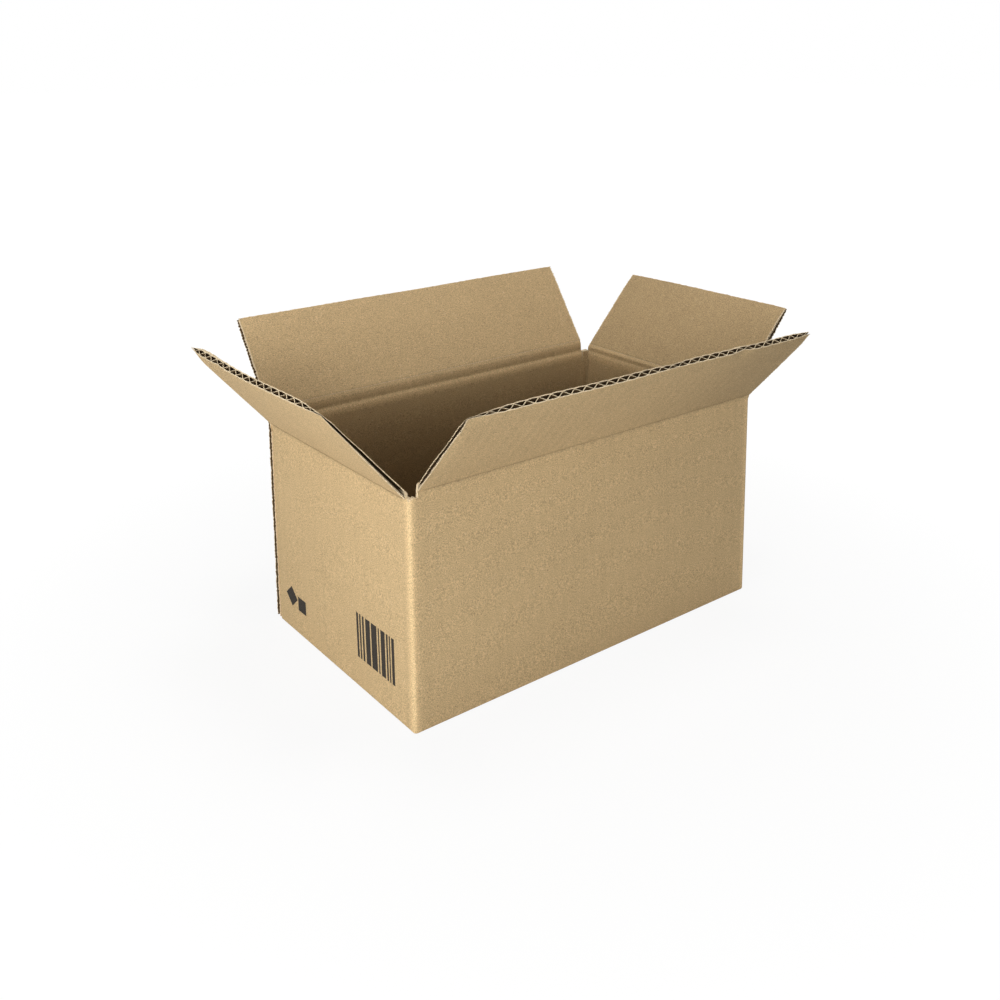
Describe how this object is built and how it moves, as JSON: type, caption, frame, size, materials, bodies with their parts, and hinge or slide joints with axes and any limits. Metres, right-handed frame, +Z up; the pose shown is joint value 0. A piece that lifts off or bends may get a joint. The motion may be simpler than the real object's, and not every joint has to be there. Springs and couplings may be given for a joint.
{
  "type": "open cardboard box",
  "caption": "Oblong single-wall corrugated carton, glued shut at the bottom, with hinged top flaps that fold out beside the walls or close over the opening.",
  "frame": {"origin": "middle of the underside, on the surface that the box stands on", "axes": "+X along the long walls towards the plain end wall, +Y across them towards the back long wall, +Z up; the printed end wall is at -X"},
  "size_m": [0.2904, 0.2001, 0.1599],
  "materials": {
    "kraft_board": "matt unbleached kraft liner"
  },
  "bodies": {
    "body": {"box_body": "kraft_board"},
    "front": {"front_flap": "kraft_board"},
    "back": {"back_flap": "kraft_board"},
    "left": {"left_flap": "kraft_board"},
    "right": {"right_flap": "kraft_board"}
  },
  "joints": [
    {"name": "front_crease", "type": "hinge", "parent": "body", "child": "front", "pos_m": [0, -0.063, 0.114], "axis": [1, 0, 0], "range_deg": [-131.5, 128.5]},
    {"name": "back_crease", "type": "hinge", "parent": "body", "child": "back", "pos_m": [0, 0.063, 0.114], "axis": [-1, 0, 0], "range_deg": [-129.5, 130.5]},
    {"name": "left_crease", "type": "hinge", "parent": "body", "child": "left", "pos_m": [-0.108, 0, 0.1107], "axis": [0, -1, 0], "range_deg": [-130.5, 129.5]},
    {"name": "right_crease", "type": "hinge", "parent": "body", "child": "right", "pos_m": [0.108, 0, 0.1107], "axis": [0, 1, 0], "range_deg": [-131, 129]}
  ]
}
